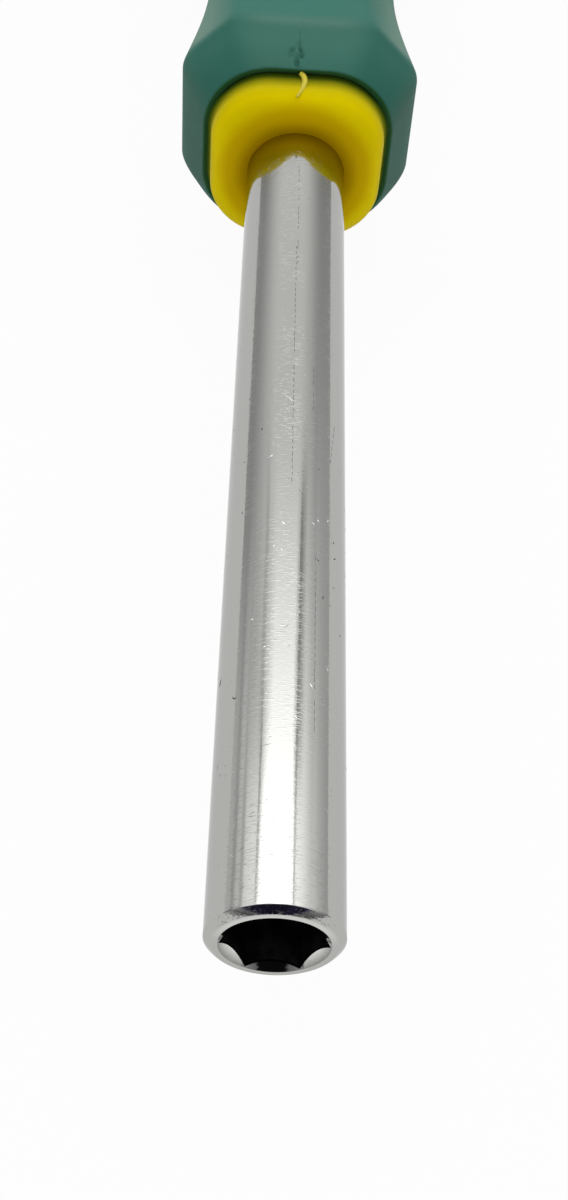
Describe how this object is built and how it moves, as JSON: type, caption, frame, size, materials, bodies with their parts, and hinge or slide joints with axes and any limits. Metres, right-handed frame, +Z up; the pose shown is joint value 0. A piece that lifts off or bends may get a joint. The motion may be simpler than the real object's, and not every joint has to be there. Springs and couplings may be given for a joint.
{
  "type": "magnetic bit holder",
  "caption": "Hand-held magnetic bit holder: a chromed steel tube with a hex socket and magnet, fixed in a hard yellow core and collar with a soft green octagonal grip.",
  "frame": {"origin": "on the surface that the tool lies on, under the middle of its length", "axes": "+Y along the tool from the socket mouth to the end cap, +Z up, +X to the right as seen from the mouth end"},
  "size_m": [0.029, 0.1942, 0.029],
  "materials": {
    "chrome_plate": "bright chrome plate over drawn steel, with faint draw lines and small scratches",
    "spring_steel": "bright spring wire",
    "nickel_plate": "satin nickel plate",
    "turned_brass": "turned brass",
    "plain_steel": "plain turned steel",
    "black_nylon": "matt moulded nylon",
    "yellow_hard_plastic": "semi-gloss moulded hard plastic",
    "yellow_cap_plastic": "semi-gloss moulded hard plastic",
    "green_soft_plastic": "matt soft overmoulding with a parting line"
  },
  "bodies": {
    "root": {"shaft_tube": "chrome_plate", "retaining_ring": "spring_steel", "magnet": "nickel_plate", "magnet_cup": "turned_brass", "thrust_pin": "plain_steel", "tube_plug": "black_nylon", "handle_core": "yellow_hard_plastic", "grip_sleeve": "green_soft_plastic", "end_cap": "yellow_cap_plastic"}
  },
  "joints": []
}
